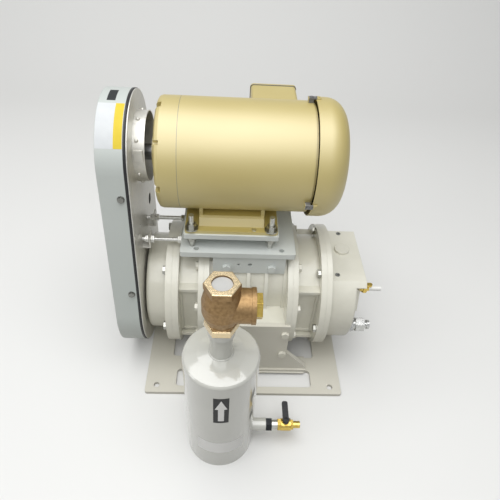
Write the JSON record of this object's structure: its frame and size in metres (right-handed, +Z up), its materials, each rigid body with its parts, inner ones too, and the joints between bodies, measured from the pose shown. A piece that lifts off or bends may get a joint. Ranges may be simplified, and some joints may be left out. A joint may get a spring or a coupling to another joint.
{
  "type": "roots_vacuum_pump",
  "caption": "Belt-driven Roots vacuum pump on a steel base, with gear case, belt guard, electric motor on top and a free-standing drain silencer with check valve.",
  "frame": {"origin": "floor, centre of the four anchor holes", "axes": "+X along the shafts to the gear case, +Y to the rear, +Z up"},
  "size_m": [0.643, 0.6435, 0.6792],
  "materials": {
    "pump_enamel": "satin enamel",
    "bracket_paint": "satin paint",
    "motor_gold": "gloss enamel",
    "guard_paint": "satin powder coat",
    "galvanised_sheet": "galvanised",
    "black_rubber": "matte",
    "zinc_steel": "zinc plated",
    "machined_steel": "machined",
    "cast_iron": "as cast",
    "dark_steel": "blackened",
    "brass": "polished",
    "bronze": "as cast bronze",
    "nickel_plate": "nickel plated",
    "white_plastic": "gloss",
    "pale_plastic": "matte",
    "black_plastic": "matte",
    "tank_paint": "gloss enamel"
  },
  "bodies": {
    "pump_frame": {"base_plate": "pump_enamel", "support_feet": "pump_enamel", "foot_bolts": "zinc_steel", "pump_casing": "pump_enamel", "drive_side_plate": "pump_enamel", "gear_side_plate": "pump_enamel", "casing_bolts": "zinc_steel", "drive_end_housing": "pump_enamel", "end_flange_bolts": "zinc_steel", "gear_case": "pump_enamel", "oil_filler_plug": "pump_enamel", "socket_plugs": "dark_steel", "oil_cock_body": "brass", "oil_cock_spout": "white_plastic", "oil_drain_fitting": "nickel_plate", "pump_bearings": "machined_steel", "shaft_seals": "black_rubber", "v_belts": "black_rubber", "guard_pan": "guard_paint", "guard_trim": "black_rubber", "guard_back_plate": "galvanised_sheet", "guard_screws": "zinc_steel", "guard_collar": "galvanised_sheet", "guard_stays": "zinc_steel", "motor_bracket": "bracket_paint", "bracket_bolts": "zinc_steel", "motor_studs": "zinc_steel", "tank_shell": "tank_paint", "tank_head": "tank_paint", "drain_socket": "tank_paint", "reducer_bush": "dark_steel", "drain_cock": "brass", "valve_body": "bronze", "valve_cover": "brass", "dust_plug": "pale_plastic"},
    "motor_carriage": {"motor_plate": "bracket_paint", "motor_nuts": "zinc_steel", "motor_foot": "motor_gold", "motor_frame": "motor_gold", "drive_end_bell": "motor_gold", "fan_end_bell": "motor_gold", "motor_screws": "motor_gold", "fan_cover": "motor_gold", "conduit_box": "motor_gold", "stator_core": "machined_steel", "motor_bearings": "machined_steel"},
    "motor_rotor": {"motor_shaft": "machined_steel", "motor_rotor_core": "machined_steel", "cooling_fan": "black_plastic", "motor_pulley": "cast_iron"},
    "drive_rotor_set": {"drive_shaft": "machined_steel", "drive_rotor": "cast_iron", "drive_gear": "machined_steel", "pump_pulley": "cast_iron"},
    "idle_rotor_set": {"idle_shaft": "machined_steel", "idle_rotor": "cast_iron", "idle_gear": "machined_steel"},
    "check_flap": {"valve_flap": "bronze"},
    "drain_handle": {"drain_lever": "black_plastic"},
    "oil_cock_key": {"oil_cock_handle": "brass"}
  },
  "joints": [
    {"name": "drive_spin", "type": "hinge", "parent": "pump_frame", "child": "drive_rotor_set", "pos_m": [0, 0, 0.14], "axis": [1, 0, 0], "continuous": true},
    {"name": "idle_spin", "type": "hinge", "parent": "pump_frame", "child": "idle_rotor_set", "pos_m": [0, 0, 0.23], "axis": [1, 0, 0], "continuous": true},
    {"name": "motor_lift", "type": "slide", "parent": "pump_frame", "child": "motor_carriage", "axis": [0, 0, 1], "range_m": [0, 0.012], "deforming": ["v_belts"]},
    {"name": "motor_spin", "type": "hinge", "parent": "motor_carriage", "child": "motor_rotor", "pos_m": [0, 0.043, 0.546], "axis": [1, 0, 0], "continuous": true},
    {"name": "flap_swing", "type": "hinge", "parent": "pump_frame", "child": "check_flap", "pos_m": [-0.033, -0.335, 0.47], "axis": [0, 1, 0], "range_deg": [0, 60]},
    {"name": "drain_turn", "type": "hinge", "parent": "pump_frame", "child": "drain_handle", "pos_m": [0.0955, -0.335, 0.048], "axis": [0, 0, 1], "range_deg": [-90, 0]},
    {"name": "oil_cock_turn", "type": "hinge", "parent": "pump_frame", "child": "oil_cock_key", "pos_m": [0.29, -0.082, 0.256], "axis": [0, 0, 1], "range_deg": [0, 90]}
  ],
  "couplings": [
    {"joint": "idle_spin", "follows": "drive_spin", "ratio": -1},
    {"joint": "motor_spin", "follows": "drive_spin", "ratio": 1.416}
  ]
}
